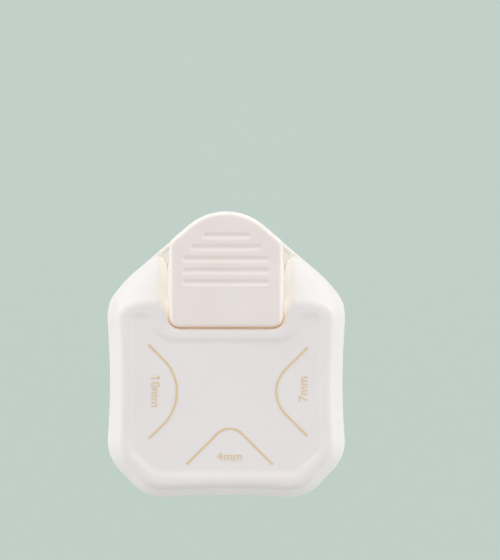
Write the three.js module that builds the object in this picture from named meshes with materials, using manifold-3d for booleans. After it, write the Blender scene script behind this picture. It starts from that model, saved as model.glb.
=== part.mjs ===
// Three-way corner rounder: one hand punch that rounds paper corners to 10, 7 or 4 mm.
// Millimetres. X to the right, Y to the thumb end of the lever, Z up.
// The origin is the centre of the footprint, on the table.

import * as THREE from 'three';
import { mergeVertices } from 'three/addons/utils/BufferGeometryUtils.js';
import Module from 'manifold-3d';

// ---------------------------------------------------------------- driving dimensions

// Footprint: the corners of the outline before they are rounded.
const FRONT_Y = -31.95;
const FRONT_HOLLOW = 0.95;
const FRONT_CORNER_X = 17.6;
const FRONT_CORNER_RISE = 9.4;
const SIDE_X = 26.7;
const WAIST_HOLLOW = 0.95;
const WAIST_Y = -6.5;
const HIP_Y = 11.3;
const SHOULDER_X = 22.3;
const SHOULDER_Y = 16.9;
const NOSE_Y = 35.85;
const NOSE_RADIUS = 12.7;

// Well past the part in any direction, for the tools that cut right through.
const FAR = 60;
const ORIGIN = new THREE.Vector2();

// Levels of the housing.
const SLOT_BOTTOM = 12;
const SLOT_TOP = 13;
const RIDGE_TOP = 29;
const PANEL_TOP = 28.7;
const PANEL_UNDER = 26;
const WALL = 2;
const DECK_UNDER = 9;
const REAR_DECK_TOP = 11;
const SHELF_UNDER = 12.6;
const SHELF_TOP = 14.3;
const REAR_RIM_TOP = 15;
const REAR_RIM_WIDTH = 1.1;
const BULKHEAD_TOP = 15.4;
const BULKHEAD_THICK = 1.6;
const FLOOR_THICK = 1.5;
const DRAFT_BASE = 1.2;
const COVER_WAIST_Z = 24;
const COVER_LEAN = 1.75;
const FLARE_DEPTH = 2.2;
const FLARE_RISE = 1;

// Rear arms of the cover, either side of the lever.
const ARM_END_Y = 22.2;
const ARM_SLOPE_Y = 12.6;
const ARM_END_Z = 17.2;
const ARM_END_GAP = 0.2;
const ARM_INNER_WALL = 1.6;

// Radii that the tool cuts, and the point where each paper corner stops.
const RADIUS_LEFT = 10;
const RADIUS_RIGHT = 7;
const RADIUS_FRONT = 4;
const PUNCH_Y = -8;
const CORNER_LEFT_X = -6.9;
const CORNER_RIGHT_X = 8.2;
const CORNER_FRONT_Y = -14.5;
const HORN_OUT = 0.35;
const HORN_UP = 0.45;

// Lever and its pins.
const LEVER_HALF = 12.6;
const LEVER_FRONT_Y = 6.33;
const LEVER_CORNER = 2.4;
const LEVER_FRONT_TOP = 29.6;
const LEVER_SLOPE = Math.tan(THREE.MathUtils.degToRad(12));
const LEVER_DEPTH = 7.5;
const LEVER_SKIN = 1.8;
const LEVER_SKIRT = 1.6;
const NOTCH_GAP = 0.33;
const CHEEK_IN = 5.2;
const CHEEK_OUT = 7.8;
const CHEEK_TOP = 25.6;
const CHEEK_UNDER = 20.2;
const PIVOT_Y = -22;
const PIVOT_Z = 22.5;
const EYE_RADIUS = 3;
const PIN_RADIUS = 1.5;
const RUNNING_GAP = 0.08;
const PRESS_GAP = 0.02;
const GROOVE_FIRST_Y = 16.1;
const GROOVE_PITCH = 2.58;
const GROOVE_WIDTH = 0.85;
const GROOVE_DEPTH = 0.5;
const GROOVE_LENGTHS = [19.2, 19.2, 19.2, 15.8, 10.7];

// Saddles that hold the pivot pin in the cover, and the straps that close them.
const SADDLE_IN = 8.2;
const SADDLE_OUT = 13.4;
const SADDLE_FRONT_Y = -28.5;
const SADDLE_REAR_Y = -18.8;
const SADDLE_UNDER = PIVOT_Z - PIN_RADIUS;
const STRAP_FRONT_Y = -27;
const STRAP_REAR_Y = -19.4;
const STRAP_THICK = 1;
const STRAP_SCREW_X = 10.8;
const STRAP_SCREW_Y = -25.3;

// Die set: die plate, paper guides and guide plate, stacked on the base's deck.
const DIE_BOTTOM = 10.5;
const GUIDE_TOP = 14.4;
const DIE_HALF = 22.4;
const DIE_FRONT_Y = -27.6;
const DIE_REAR_Y = 6.2;
const DIE_CHAMFER = 6.5;
const CUT_GAP = 0.05;
const GUIDE_GAP = 0.1;
const SPACER_GAP = 0.4;
const DROP_GAP = 1.2;
const DIE_SCREWS = [
  ['front_left', -12, -19.7],
  ['front_right', 12, -19.7],
  ['rear_left', -9.5, 3.6],
  ['rear_right', 9.5, 3.6],
];
const DIE_BOSS_RADIUS = 2.3;
const DIE_BOSS_UNDER = 7;

// Punch, its carrier, posts and springs.
const PUNCH_BOTTOM = 13.3;
const CARRIER_BOTTOM = 18.4;
const CARRIER_TOP = 20;
const DRIVE_GAP = 0.03;
const WING_BOTTOM = 20.4;
const WING_TOP = 22.2;
const WING_OUT = 21.2;
const WING_STEP = 12.6;
const WING_THICK = 1.6;
const WING_HALF = 3;
const POST_X = 18;
const POST_RADIUS = 1.25;
const POST_TOP = 24.6;
const SPRING_RADIUS = 2.2;
const SPRING_WIRE = 0.28;
const SPRING_TURNS = 4;
const SPRING_SEAT = 0.05;
const PUNCH_SCREWS = [['front', -12], ['rear', -4]];

// Housing screws and waste tray.
const HOUSING_SCREWS = [
  ['front_left', -17.2, -24.6],
  ['front_right', 17.2, -24.6],
  ['rear_left', -19.4, 9.2],
  ['rear_right', 19.4, 9.2],
];
const BOSS_RADIUS = 2.7;
const BOSS_UNDER = 6.4;
const HEAD_TOP = 9.2;
const TRAY_BOTTOM = 0.4;
const TRAY_TOP = 6;
const TRAY_WALL = 1.2;
const TRAY_GAP = 0.35;
const TRAY_INSET = DRAFT_BASE + WALL + TRAY_GAP;
const HINGE_Y = 10;
const HINGE_Z = 2.4;
const KNUCKLE_RADIUS = HINGE_Z - TRAY_BOTTOM;
const KNUCKLE_HALF = 22.1;
const PEG_RADIUS = 1.1;
const PEG_END = 24.2;
const TAB_HALF = 4;
const TAB_FRONT_Y = -30.2;
const TAB_REAR_Y = -27;

// Screws: radius and height of the head, then radius and length of the shank.
const DIE_SCREW = { headRadius: 1.8, headHeight: 1.3, radius: 0.9, length: 6.8 };
const PUNCH_SCREW = { headRadius: 1.6, headHeight: 0.9, radius: 0.9, length: 4.2 };
const STRAP_SCREW = { headRadius: 1.5, headHeight: 1, radius: 0.8, length: 4 };
const HOUSING_SCREW = { headRadius: 2, headHeight: 1.6, radius: 1, length: 9 };

// Colours.
const CREAM = 0xe9e0dc;
const LEVER_CREAM = 0xe3d9d4;
const STEEL = 0xb8bcc0;
const BLADE_STEEL = 0x9a9ea3;
const SPRING_STEEL = 0xc9ccd0;
const CLEAR_GREY = 0xd7dcda;

// ---------------------------------------------------------------- solids

const wasm = await Module();
wasm.setup();

function solid(geometry) {
  const bare = geometry.index ? geometry.toNonIndexed() : geometry.clone();
  bare.deleteAttribute('normal');
  bare.deleteAttribute('uv');
  const merged = mergeVertices(bare, 1e-4);
  return new wasm.Manifold(new wasm.Mesh({
    numProp: 3,
    vertProperties: new Float32Array(merged.attributes.position.array),
    triVerts: new Uint32Array(merged.index.array),
  }));
}

function geometryOf(manifold) {
  const mesh = manifold.getMesh();
  const geometry = new THREE.BufferGeometry();
  geometry.setAttribute('position', new THREE.BufferAttribute(mesh.vertProperties, mesh.numProp));
  geometry.setIndex(new THREE.BufferAttribute(mesh.triVerts, 1));
  return geometry;
}

function cut(body, tools) {
  return tools.reduce((left, tool) => left.subtract(tool), body);
}

function join(bodies) {
  return bodies.reduce((left, right) => left.add(right));
}

function ordered(a, b) {
  return a < b ? [a, b] : [b, a];
}

function box(x0, x1, y0, y1, z0, z1) {
  const geometry = new THREE.BoxGeometry(x1 - x0, y1 - y0, z1 - z0);
  geometry.translate((x0 + x1) / 2, (y0 + y1) / 2, (z0 + z1) / 2);
  return solid(geometry);
}

function cylinderZ(x, y, radius, z0, z1, sides = 20) {
  const geometry = new THREE.CylinderGeometry(radius, radius, z1 - z0, sides);
  geometry.rotateX(Math.PI / 2);
  geometry.translate(x, y, (z0 + z1) / 2);
  return solid(geometry);
}

function cylinderX(y, z, radius, x0, x1, sides = 28) {
  const geometry = new THREE.CylinderGeometry(radius, radius, x1 - x0, sides);
  geometry.rotateZ(Math.PI / 2);
  geometry.translate((x0 + x1) / 2, y, z);
  return solid(geometry);
}

// A closed outline in XY, raised from z0 to z1.
function raise(points, z0, z1) {
  const shape = new THREE.Shape(points);
  const geometry = new THREE.ExtrudeGeometry(shape, { depth: z1 - z0, bevelEnabled: false });
  geometry.translate(0, 0, z0);
  return solid(geometry);
}

// A closed outline in YZ, drawn along X from x0 to x1.
function drawX(outline, x0, x1) {
  const shape = new THREE.Shape(outline.map(([y, z]) => new THREE.Vector2(y, z)));
  const geometry = new THREE.ExtrudeGeometry(shape, { depth: x1 - x0, bevelEnabled: false });
  geometry.applyMatrix4(new THREE.Matrix4().set(0, 0, 1, x0, 1, 0, 0, 0, 0, 1, 0, 0, 0, 0, 0, 1));
  return solid(geometry);
}

// Outlines with equal numbers of points, each { z, points }, skinned from the lowest to the highest.
function loft(levels) {
  const count = levels[0].points.length;
  const top = levels[levels.length - 1];
  const vertices = levels.flatMap(({ z, points }) => points.flatMap((p) => [p.x, p.y, z]));
  const faces = [];
  for (let ring = 0; ring < levels.length - 1; ring += 1) {
    for (let i = 0; i < count; i += 1) {
      const next = (i + 1) % count;
      const low = ring * count;
      const high = low + count;
      faces.push(low + i, low + next, high + next, low + i, high + next, high + i);
    }
  }
  const last = (levels.length - 1) * count;
  for (const [a, b, c] of THREE.ShapeUtils.triangulateShape(levels[0].points, [])) {
    faces.push(c, b, a);
  }
  for (const [a, b, c] of THREE.ShapeUtils.triangulateShape(top.points, [])) {
    faces.push(last + a, last + b, last + c);
  }
  const geometry = new THREE.BufferGeometry();
  geometry.setAttribute('position', new THREE.Float32BufferAttribute(vertices, 3));
  geometry.setIndex(faces);
  return solid(geometry);
}

// ---------------------------------------------------------------- outlines

// Corners { x, y, r, n } in anticlockwise order. Every edge moves in by the inset, then each
// corner is rounded by an arc of n steps. Convex radii shrink with the inset, hollow ones grow.
function rounded(corners, inset = 0) {
  const around = (list, i) => [list[(i + list.length - 1) % list.length], list[(i + 1) % list.length]];
  const moved = corners.map((corner, i) => {
    const [before, after] = around(corners, i);
    const normalIn = new THREE.Vector2(before.y - corner.y, corner.x - before.x).normalize();
    const normalOut = new THREE.Vector2(corner.y - after.y, after.x - corner.x).normalize();
    const reach = inset / (1 + normalIn.dot(normalOut));
    const shift = normalIn.add(normalOut).multiplyScalar(reach);
    return { ...corner, x: corner.x + shift.x, y: corner.y + shift.y };
  });
  return moved.flatMap((corner, i) => {
    const here = new THREE.Vector2(corner.x, corner.y);
    const [back, ahead] = around(moved, i).map((c) => new THREE.Vector2(c.x, c.y).sub(here).normalize());
    const convex = back.cross(ahead) < 0;
    const radius = Math.max(corner.r + (convex ? -inset : inset), 0.15);
    const half = Math.acos(THREE.MathUtils.clamp(back.dot(ahead), -1, 1)) / 2;
    const centre = back.clone().add(ahead).setLength(radius / Math.sin(half)).add(here);
    const start = here.clone().addScaledVector(back, radius / Math.tan(half));
    const sweep = (convex ? 1 : -1) * (Math.PI - 2 * half);
    const steps = Array.from({ length: corner.n + 1 }, (_, step) => sweep * step / corner.n);
    return steps.map((angle) => start.clone().rotateAround(centre, angle));
  });
}

// The right-hand corners, then their mirror images in reverse order.
function mirrored(corners) {
  const left = corners.filter((corner) => corner.x !== 0).map((corner) => ({ ...corner, x: -corner.x }));
  return [...corners, ...left.reverse()];
}

const FOOTPRINT = mirrored([
  { x: 0, y: FRONT_Y + FRONT_HOLLOW, r: 170, n: 4 },
  { x: FRONT_CORNER_X, y: FRONT_Y, r: 9.8, n: 4 },
  { x: SIDE_X, y: FRONT_Y + FRONT_CORNER_RISE, r: 8.8, n: 4 },
  { x: SIDE_X - WAIST_HOLLOW, y: WAIST_Y, r: 150, n: 4 },
  { x: SIDE_X, y: HIP_Y, r: 8.3, n: 4 },
  { x: SHOULDER_X, y: SHOULDER_Y, r: 27, n: 3 },
  { x: 0, y: NOSE_Y, r: NOSE_RADIUS, n: 10 },
]);

function footprint(z, inset) {
  return { z, points: rounded(FOOTPRINT, inset) };
}

// The flat panel on top: chamfered in front, with a lobe either side of the lever's notch.
const PANEL = mirrored([
  { x: 15.55, y: -26.3, r: 1.6, n: 3 },
  { x: 21.2, y: -21.05, r: 2.4, n: 3 },
  { x: 20.7, y: WAIST_Y, r: 200, n: 2 },
  { x: 21, y: 9.1, r: 1.7, n: 4 },
  { x: 16.3, y: 8.85, r: 1.7, n: 4 },
  { x: 16.3, y: 3.45, r: 5, n: 5 },
]);

// The lever's plan: square in front, then the footprint's own diagonals and nose.
const LEVER_PLAN = mirrored([
  { x: LEVER_HALF, y: LEVER_FRONT_Y, r: LEVER_CORNER, n: 4 },
  { x: LEVER_HALF, y: NOSE_Y - LEVER_HALF * (NOSE_Y - SHOULDER_Y) / SHOULDER_X, r: 2, n: 3 },
  { x: 0, y: NOSE_Y, r: NOSE_RADIUS, n: 10 },
]);

// The notch in the cover, one gap wider than the lever all round and open to the rear.
const NOTCH_HALF = LEVER_HALF + NOTCH_GAP;
const NOTCH_PLAN = mirrored([
  { x: NOTCH_HALF, y: LEVER_FRONT_Y - NOTCH_GAP, r: LEVER_CORNER + NOTCH_GAP, n: 4 },
  { x: NOTCH_HALF, y: FAR, r: 1, n: 1 },
]);

function leverPlan(z, inset) {
  return { z, points: rounded(LEVER_PLAN, inset) };
}

// A cutting edge: an arc just over 90 degrees long that touches both paper edges. The paper
// corner points along facing. Anticlockwise round the punch, whose side of it is hollow.
function cuttingEdge(cornerX, cornerY, radius, facing, grow, steps) {
  const centre = new THREE.Vector2(-radius * Math.SQRT2, 0).rotateAround(ORIGIN, facing);
  centre.add(new THREE.Vector2(cornerX, cornerY));
  const over = Math.PI / 4 + 0.11;
  return Array.from({ length: steps + 1 }, (_, step) => {
    const angle = facing + over * (1 - 2 * step / steps);
    return new THREE.Vector2(Math.cos(angle), Math.sin(angle)).multiplyScalar(radius - grow).add(centre);
  });
}

// Plan of the punch: three hollow cutting edges joined by straight sides with blunt horns.
function punchPlan(grow) {
  const left = cuttingEdge(CORNER_LEFT_X, PUNCH_Y, RADIUS_LEFT, 0, grow, 10);
  const front = cuttingEdge(0, CORNER_FRONT_Y, RADIUS_FRONT, Math.PI / 2, grow, 6);
  const right = cuttingEdge(CORNER_RIGHT_X, PUNCH_Y, RADIUS_RIGHT, Math.PI, grow, 8);
  const horn = (point, wayX, wayY) => new THREE.Vector2(
    point.x + wayX * (HORN_OUT + grow),
    point.y + wayY * (HORN_UP + grow),
  );
  return [
    horn(left[0], -1, 1), ...left, horn(left[10], -1, -1),
    horn(front[0], -1, -1), ...front, horn(front[6], 1, -1),
    horn(right[0], 1, -1), ...right, horn(right[8], 1, 1),
  ];
}

// ---------------------------------------------------------------- paper spaces

// The quarter of the plane that a sheet's corner fills when it is stopped at (x, y).
function paperWedge(x, y, facing, z0, z1) {
  const corner = new THREE.Vector2(x, y);
  const arm = (turn) => new THREE.Vector2(-FAR, 0).rotateAround(ORIGIN, facing + turn).add(corner);
  return raise([corner, arm(-Math.PI / 4), arm(Math.PI / 4)], z0, z1);
}

function paperWedges(z0, z1) {
  return join([
    paperWedge(CORNER_LEFT_X, PUNCH_Y, 0, z0, z1),
    paperWedge(CORNER_RIGHT_X, PUNCH_Y, Math.PI, z0, z1),
    paperWedge(0, CORNER_FRONT_Y, Math.PI / 2, z0, z1),
  ]);
}

// The three slots with a flared mouth at the skin, to be cut from the cover and the base.
function paperSlots() {
  const reach = 1.5 * FLARE_RISE;
  const past = -0.5 * FLARE_DEPTH;
  const clear = 2 * past;
  const around = loft([footprint(SLOT_BOTTOM - reach, clear), footprint(SLOT_TOP + reach, clear)]);
  const core = loft([
    footprint(SLOT_BOTTOM - reach, past),
    footprint(SLOT_BOTTOM, FLARE_DEPTH),
    footprint(SLOT_TOP, FLARE_DEPTH),
    footprint(SLOT_TOP + reach, past),
  ]);
  const flare = around.subtract(core).intersect(paperWedges(SLOT_BOTTOM - 2, SLOT_TOP + 2));
  return flare.add(paperWedges(SLOT_BOTTOM, SLOT_TOP));
}

// ---------------------------------------------------------------- fasteners

// A cross-head screw along Z. The face of its head is at headZ, and way is 1 when it points up.
function screw(x, y, headZ, way, { headRadius, headHeight, radius, length }) {
  const neck = headZ + way * headHeight;
  const tip = neck + way * length;
  const inside = neck - way * headHeight / 2;
  const socket = headZ + way * headHeight * 0.6;
  const past = headZ - way;
  const long = headRadius * 0.6;
  const slim = headRadius * 0.16;
  return cut(join([
    cylinderZ(x, y, headRadius, ...ordered(headZ, neck), 18),
    cylinderZ(x, y, radius, ...ordered(inside, tip), 14),
  ]), [
    box(x - long, x + long, y - slim, y + slim, ...ordered(past, socket)),
    box(x - slim, x + slim, y - long, y + long, ...ordered(past, socket)),
  ]);
}

function screwHoles(screws, radius, z0, z1) {
  return screws.map(([, x, y]) => cylinderZ(x, y, radius, z0, z1, 16));
}

// ---------------------------------------------------------------- housing

function coverSkin() {
  return loft([
    footprint(SLOT_BOTTOM, 0),
    footprint(COVER_WAIST_Z, COVER_LEAN),
    footprint(RIDGE_TOP - 2, COVER_LEAN + 0.45),
    footprint(RIDGE_TOP - 0.7, COVER_LEAN + 0.95),
    footprint(RIDGE_TOP, COVER_LEAN + 1.85),
  ]);
}

// Everything above the arms' slope, lowered by the depth.
function aboveArms(depth) {
  const fall = (RIDGE_TOP - ARM_END_Z) / (ARM_END_Y - ARM_SLOPE_Y);
  const y0 = ARM_SLOPE_Y - depth;
  const drop = fall * (FAR - y0);
  return drawX([[y0, RIDGE_TOP], [FAR, RIDGE_TOP - drop], [FAR, FAR], [y0, FAR]], -FAR, FAR);
}

function topCover() {
  const innerHalf = NOTCH_HALF + ARM_INNER_WALL;
  const cavity = cut(loft([
    footprint(SLOT_BOTTOM - 1, WALL),
    footprint(COVER_WAIST_Z, COVER_LEAN + WALL),
    footprint(PANEL_UNDER, COVER_LEAN + WALL + 0.6),
  ]), [
    aboveArms(WALL + 0.6),
    box(-innerHalf, innerHalf, LEVER_FRONT_Y + WALL, FAR, 0, FAR),
    box(-FAR, FAR, ARM_END_Y - WALL, FAR, 0, FAR),
  ]);
  const panel = loft([
    { z: PANEL_TOP, points: rounded(PANEL, 0.5) },
    { z: RIDGE_TOP + 0.2, points: rounded(PANEL, -0.4) },
  ]);
  const rootZ = PANEL_UNDER + 0.5;
  const saddles = [-1, 1].map((side) => {
    const [x0, x1] = ordered(side * SADDLE_IN, side * SADDLE_OUT);
    return box(x0, x1, SADDLE_FRONT_Y, SADDLE_REAR_Y, SADDLE_UNDER, rootZ);
  });
  const skin = coverSkin();
  const posts = HOUSING_SCREWS.map(([, x, y]) => cylinderZ(x, y, BOSS_RADIUS, SLOT_BOTTOM, rootZ));
  const inside = join([...posts, ...saddles]).intersect(skin);
  const shell = join([skin.subtract(cavity), inside]);
  const pinRadius = PIN_RADIUS + PRESS_GAP;
  const pinReach = SADDLE_OUT + 0.5;
  const housingScrewEnd = HEAD_TOP + HOUSING_SCREW.length;
  const strapScrewEnd = SADDLE_UNDER - STRAP_THICK + STRAP_SCREW.length;
  return cut(shell, [
    aboveArms(0),
    panel,
    raise(rounded(NOTCH_PLAN), 0, FAR),
    box(-FAR, FAR, ARM_END_Y, FAR, 0, FAR),
    paperSlots(),
    cylinderX(PIVOT_Y, PIVOT_Z, pinRadius, -pinReach, pinReach),
    box(-pinReach, pinReach, PIVOT_Y - pinRadius, PIVOT_Y + pinRadius, SADDLE_UNDER - 1, PIVOT_Z),
    ...screwHoles(HOUSING_SCREWS, HOUSING_SCREW.radius + PRESS_GAP, SLOT_BOTTOM - 1, housingScrewEnd + 0.4),
    ...[-1, 1].map((side) => cylinderZ(
      side * STRAP_SCREW_X, STRAP_SCREW_Y, STRAP_SCREW.radius + PRESS_GAP,
      SADDLE_UNDER - 1, strapScrewEnd + 0.6, 14,
    )),
  ]);
}

// The floor between the side walls from frontY back, up to the level topZ.
function rearDeck(frontY, topZ, inset) {
  return loft([footprint(DECK_UNDER, inset), footprint(topZ, inset)])
    .intersect(box(-FAR, FAR, frontY, FAR, DECK_UNDER, topZ));
}

// The rim behind the arms, round the shelf that lies under the thumb end of the lever.
function rearRim(frontY) {
  const ring = loft([
    footprint(SLOT_BOTTOM - 0.5, 0.02),
    footprint(SLOT_BOTTOM, 0),
    footprint(REAR_RIM_TOP, 0.4),
  ]);
  return cut(ring, [
    loft([footprint(SLOT_BOTTOM - 1, REAR_RIM_WIDTH), footprint(FAR, REAR_RIM_WIDTH)]),
    box(-FAR, FAR, -FAR, frontY, 0, FAR),
  ]);
}

function baseShell() {
  const skin = loft([
    footprint(0, DRAFT_BASE + 0.5),
    footprint(0.6, DRAFT_BASE),
    footprint(SLOT_BOTTOM, 0),
  ]);
  const cavity = loft([footprint(-1, DRAFT_BASE + WALL), footprint(DECK_UNDER, DRAFT_BASE / 4 + WALL)]);
  const pocket = loft([footprint(DIE_BOTTOM, WALL), footprint(FAR, WALL)]);
  const bulkheadY = DIE_REAR_Y + 1.4;
  const bulkheadHalf = NOTCH_HALF - 0.3;
  const shelfY = ARM_END_Y + ARM_END_GAP;
  const rearFloor = loft([footprint(0, DRAFT_BASE + 1), footprint(FLOOR_THICK, DRAFT_BASE + 1)])
    .intersect(box(-FAR, FAR, HINGE_Y + KNUCKLE_RADIUS + 0.4, FAR, 0, FLOOR_THICK));
  const underShelf = loft([footprint(DECK_UNDER - 1, WALL + 0.5), footprint(SHELF_UNDER, WALL + 0.5)])
    .intersect(box(-FAR, FAR, shelfY + WALL, FAR, 0, FAR));
  const shell = cut(skin, [cavity, pocket]);
  const inside = [
    rearFloor,
    rearDeck(bulkheadY, REAR_DECK_TOP, WALL - 0.5),
    rearDeck(ARM_END_Y - WALL - 0.3, SLOT_BOTTOM, WALL - 0.5),
    rearDeck(shelfY, SHELF_TOP, REAR_RIM_WIDTH - 0.1),
    rearRim(shelfY),
    box(-bulkheadHalf, bulkheadHalf, bulkheadY, bulkheadY + BULKHEAD_THICK, DECK_UNDER, BULKHEAD_TOP),
    ...HOUSING_SCREWS.map(([, x, y]) => cylinderZ(x, y, BOSS_RADIUS, BOSS_UNDER, SLOT_BOTTOM)),
    ...DIE_SCREWS.map(([, x, y]) => cylinderZ(x, y, DIE_BOSS_RADIUS, DIE_BOSS_UNDER, DIE_BOTTOM)),
  ];
  const pegReach = PEG_END + 0.25;
  const tabHalf = TAB_HALF + 0.3;
  return cut(join([shell, ...inside]), [
    underShelf,
    raise(punchPlan(DROP_GAP), DECK_UNDER - 3, SLOT_BOTTOM),
    paperSlots(),
    cylinderX(HINGE_Y, HINGE_Z, PEG_RADIUS + RUNNING_GAP, -pegReach, pegReach, 20),
    box(-tabHalf, tabHalf, -FAR, TAB_REAR_Y, -1, HINGE_Z),
    ...screwHoles(HOUSING_SCREWS, HOUSING_SCREW.radius + 0.12, 0, SLOT_BOTTOM + 1),
    ...screwHoles(HOUSING_SCREWS, HOUSING_SCREW.headRadius + 0.15, 0, HEAD_TOP),
    ...screwHoles(DIE_SCREWS, DIE_SCREW.radius + PRESS_GAP, 0, SLOT_BOTTOM + 1),
  ]);
}

// The waste tray: a shallow dish on a round knuckle, with a moulded peg at each end.
function wasteTray() {
  const inner = TRAY_INSET + TRAY_WALL;
  const shoulderY = HINGE_Y - 2.5;
  const dish = cut(loft([footprint(TRAY_BOTTOM, TRAY_INSET), footprint(TRAY_TOP, TRAY_INSET)]), [
    loft([footprint(TRAY_BOTTOM + FLOOR_THICK, inner), footprint(TRAY_TOP + 1, inner)])
      .intersect(box(-FAR, FAR, -FAR, HINGE_Y - 2.4, 0, FAR)),
    box(-FAR, FAR, HINGE_Y, FAR, -FAR, FAR),
    box(-FAR, FAR, HINGE_Y - 1, FAR, HINGE_Z, FAR),
    box(-FAR, -KNUCKLE_HALF, shoulderY, FAR, -FAR, FAR),
    box(KNUCKLE_HALF, FAR, shoulderY, FAR, -FAR, FAR),
  ]);
  return join([
    dish,
    cylinderX(HINGE_Y, HINGE_Z, KNUCKLE_RADIUS, -KNUCKLE_HALF, KNUCKLE_HALF, 24),
    cylinderX(HINGE_Y, HINGE_Z, PEG_RADIUS, -PEG_END, PEG_END, 20),
    box(-TAB_HALF, TAB_HALF, TAB_FRONT_Y, TAB_REAR_Y, TRAY_BOTTOM, TRAY_BOTTOM + FLOOR_THICK),
  ]);
}

// ---------------------------------------------------------------- lever

function leverPad() {
  const shell = cut(loft([
    leverPlan(-LEVER_DEPTH, 0),
    leverPlan(-0.9, 0),
    leverPlan(-0.3, 0.25),
    leverPlan(0, 0.8),
  ]), [loft([leverPlan(-LEVER_DEPTH - 1, LEVER_SKIRT), leverPlan(-LEVER_SKIN, LEVER_SKIRT)])]);
  const grooves = GROOVE_LENGTHS.map((length, i) => {
    const y = GROOVE_FIRST_Y + GROOVE_PITCH * i;
    const half = GROOVE_WIDTH / 2;
    const capsule = mirrored([
      { x: length / 2, y: y - half, r: half * 0.98, n: 3 },
      { x: length / 2, y: y + half, r: half * 0.98, n: 3 },
    ]);
    return raise(rounded(capsule), -GROOVE_DEPTH, 1);
  });
  const slope = new THREE.Matrix4().makeShear(0, 0, 0, LEVER_SLOPE, 0, 0);
  const rise = LEVER_FRONT_TOP - LEVER_FRONT_Y * LEVER_SLOPE;
  return solid(geometryOf(cut(shell, grooves)).applyMatrix4(slope).translate(0, 0, rise));
}

function pressLever() {
  const driveY = PUNCH_Y;
  const rootY = LEVER_FRONT_Y + 1;
  const cheek = (x0, x1) => join([
    cylinderX(PIVOT_Y, PIVOT_Z, EYE_RADIUS, x0, x1),
    drawX([
      [PIVOT_Y, PIVOT_Z - EYE_RADIUS],
      [driveY - 7, CHEEK_UNDER - 0.05],
      [driveY, CHEEK_UNDER],
      [driveY + 5.4, CHEEK_UNDER + 1.2],
      [rootY, CHEEK_UNDER + 3],
      [rootY, CHEEK_TOP],
      [driveY, CHEEK_TOP],
      [PIVOT_Y, PIVOT_Z + EYE_RADIUS],
    ], x0, x1),
  ]);
  const reach = CHEEK_OUT + 1;
  return cut(join([leverPad(), cheek(-CHEEK_OUT, -CHEEK_IN), cheek(CHEEK_IN, CHEEK_OUT)]), [
    cylinderX(PIVOT_Y, PIVOT_Z, PIN_RADIUS + RUNNING_GAP, -reach, reach),
    cylinderX(driveY, PIVOT_Z, PIN_RADIUS + PRESS_GAP, -reach, reach),
  ]);
}

// ---------------------------------------------------------------- die set

function platePlan() {
  const low = DIE_FRONT_Y;
  const c = DIE_CHAMFER;
  return [
    [-DIE_HALF + c, low], [DIE_HALF - c, low], [DIE_HALF, low + c],
    [DIE_HALF, DIE_REAR_Y], [-DIE_HALF, DIE_REAR_Y], [-DIE_HALF, low + c],
  ].map(([x, y]) => new THREE.Vector2(x, y));
}

function plate(z0, z1, opening) {
  return cut(raise(platePlan(), z0, z1), [
    raise(punchPlan(opening), z0 - 1, z1 + 1),
    ...screwHoles(HOUSING_SCREWS, BOSS_RADIUS + 0.3, z0 - 1, z1 + 1),
    ...screwHoles(DIE_SCREWS, DIE_SCREW.radius + 0.1, z0 - 1, z1 + 1),
  ]);
}

function guidePlate() {
  const postHoles = [-1, 1].map((side) => cylinderZ(
    side * POST_X, PUNCH_Y, POST_RADIUS + PRESS_GAP, SLOT_TOP - 1, GUIDE_TOP + 1,
  ));
  return cut(plate(SLOT_TOP, GUIDE_TOP, GUIDE_GAP), postHoles);
}

// What is left of the plate between the paper slots, one spacer for each side of the punch.
function paperGuide(x0, x1, y0, y1) {
  return plate(SLOT_BOTTOM, SLOT_TOP, SPACER_GAP)
    .subtract(paperWedges(SLOT_BOTTOM - 1, SLOT_TOP + 1))
    .intersect(box(x0, x1, y0, y1, SLOT_BOTTOM - 1, SLOT_TOP + 1));
}

// ---------------------------------------------------------------- punch and springs

function punchBlock() {
  const holeEnd = CARRIER_TOP - PUNCH_SCREW.length - 0.6;
  return cut(raise(punchPlan(0), PUNCH_BOTTOM, CARRIER_BOTTOM), PUNCH_SCREWS.map(
    ([, y]) => cylinderZ(0, y, PUNCH_SCREW.radius + PRESS_GAP, holeEnd, CARRIER_BOTTOM + 1, 14),
  ));
}

function punchCarrier() {
  const bossTop = PIVOT_Z - PIN_RADIUS - DRIVE_GAP;
  const riserOut = WING_STEP + WING_THICK;
  const bossHalf = CHEEK_IN - 0.4;
  const wings = [-1, 1].flatMap((side) => [[WING_OUT, WING_BOTTOM], [riserOut, CARRIER_BOTTOM]].map(
    ([out, bottom]) => {
      const [x0, x1] = ordered(side * WING_STEP, side * out);
      return box(x0, x1, PUNCH_Y - WING_HALF, PUNCH_Y + WING_HALF, bottom, WING_TOP);
    },
  ));
  return cut(join([
    box(-riserOut, riserOut, PUNCH_Y - 5.4, PUNCH_Y + 5.6, CARRIER_BOTTOM, CARRIER_TOP),
    box(-bossHalf, bossHalf, PUNCH_Y - 2, PUNCH_Y + 2, CARRIER_BOTTOM, bossTop),
    ...wings,
  ]), [
    ...[-1, 1].map((side) => cylinderZ(
      side * POST_X, PUNCH_Y, POST_RADIUS + RUNNING_GAP, WING_BOTTOM - 1, WING_TOP + 1,
    )),
    ...PUNCH_SCREWS.map(([, y]) => cylinderZ(
      0, y, PUNCH_SCREW.radius + 0.1, CARRIER_BOTTOM - 1, CARRIER_TOP + 1, 14,
    )),
  ]);
}

class Helix extends THREE.Curve {
  constructor(radius, turns, height) {
    super();
    this.radius = radius;
    this.turns = turns;
    this.height = height;
  }

  getPoint(t, target = new THREE.Vector3()) {
    const angle = 2 * Math.PI * this.turns * t;
    return target.set(this.radius * Math.cos(angle), this.radius * Math.sin(angle), this.height * t);
  }
}

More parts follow.
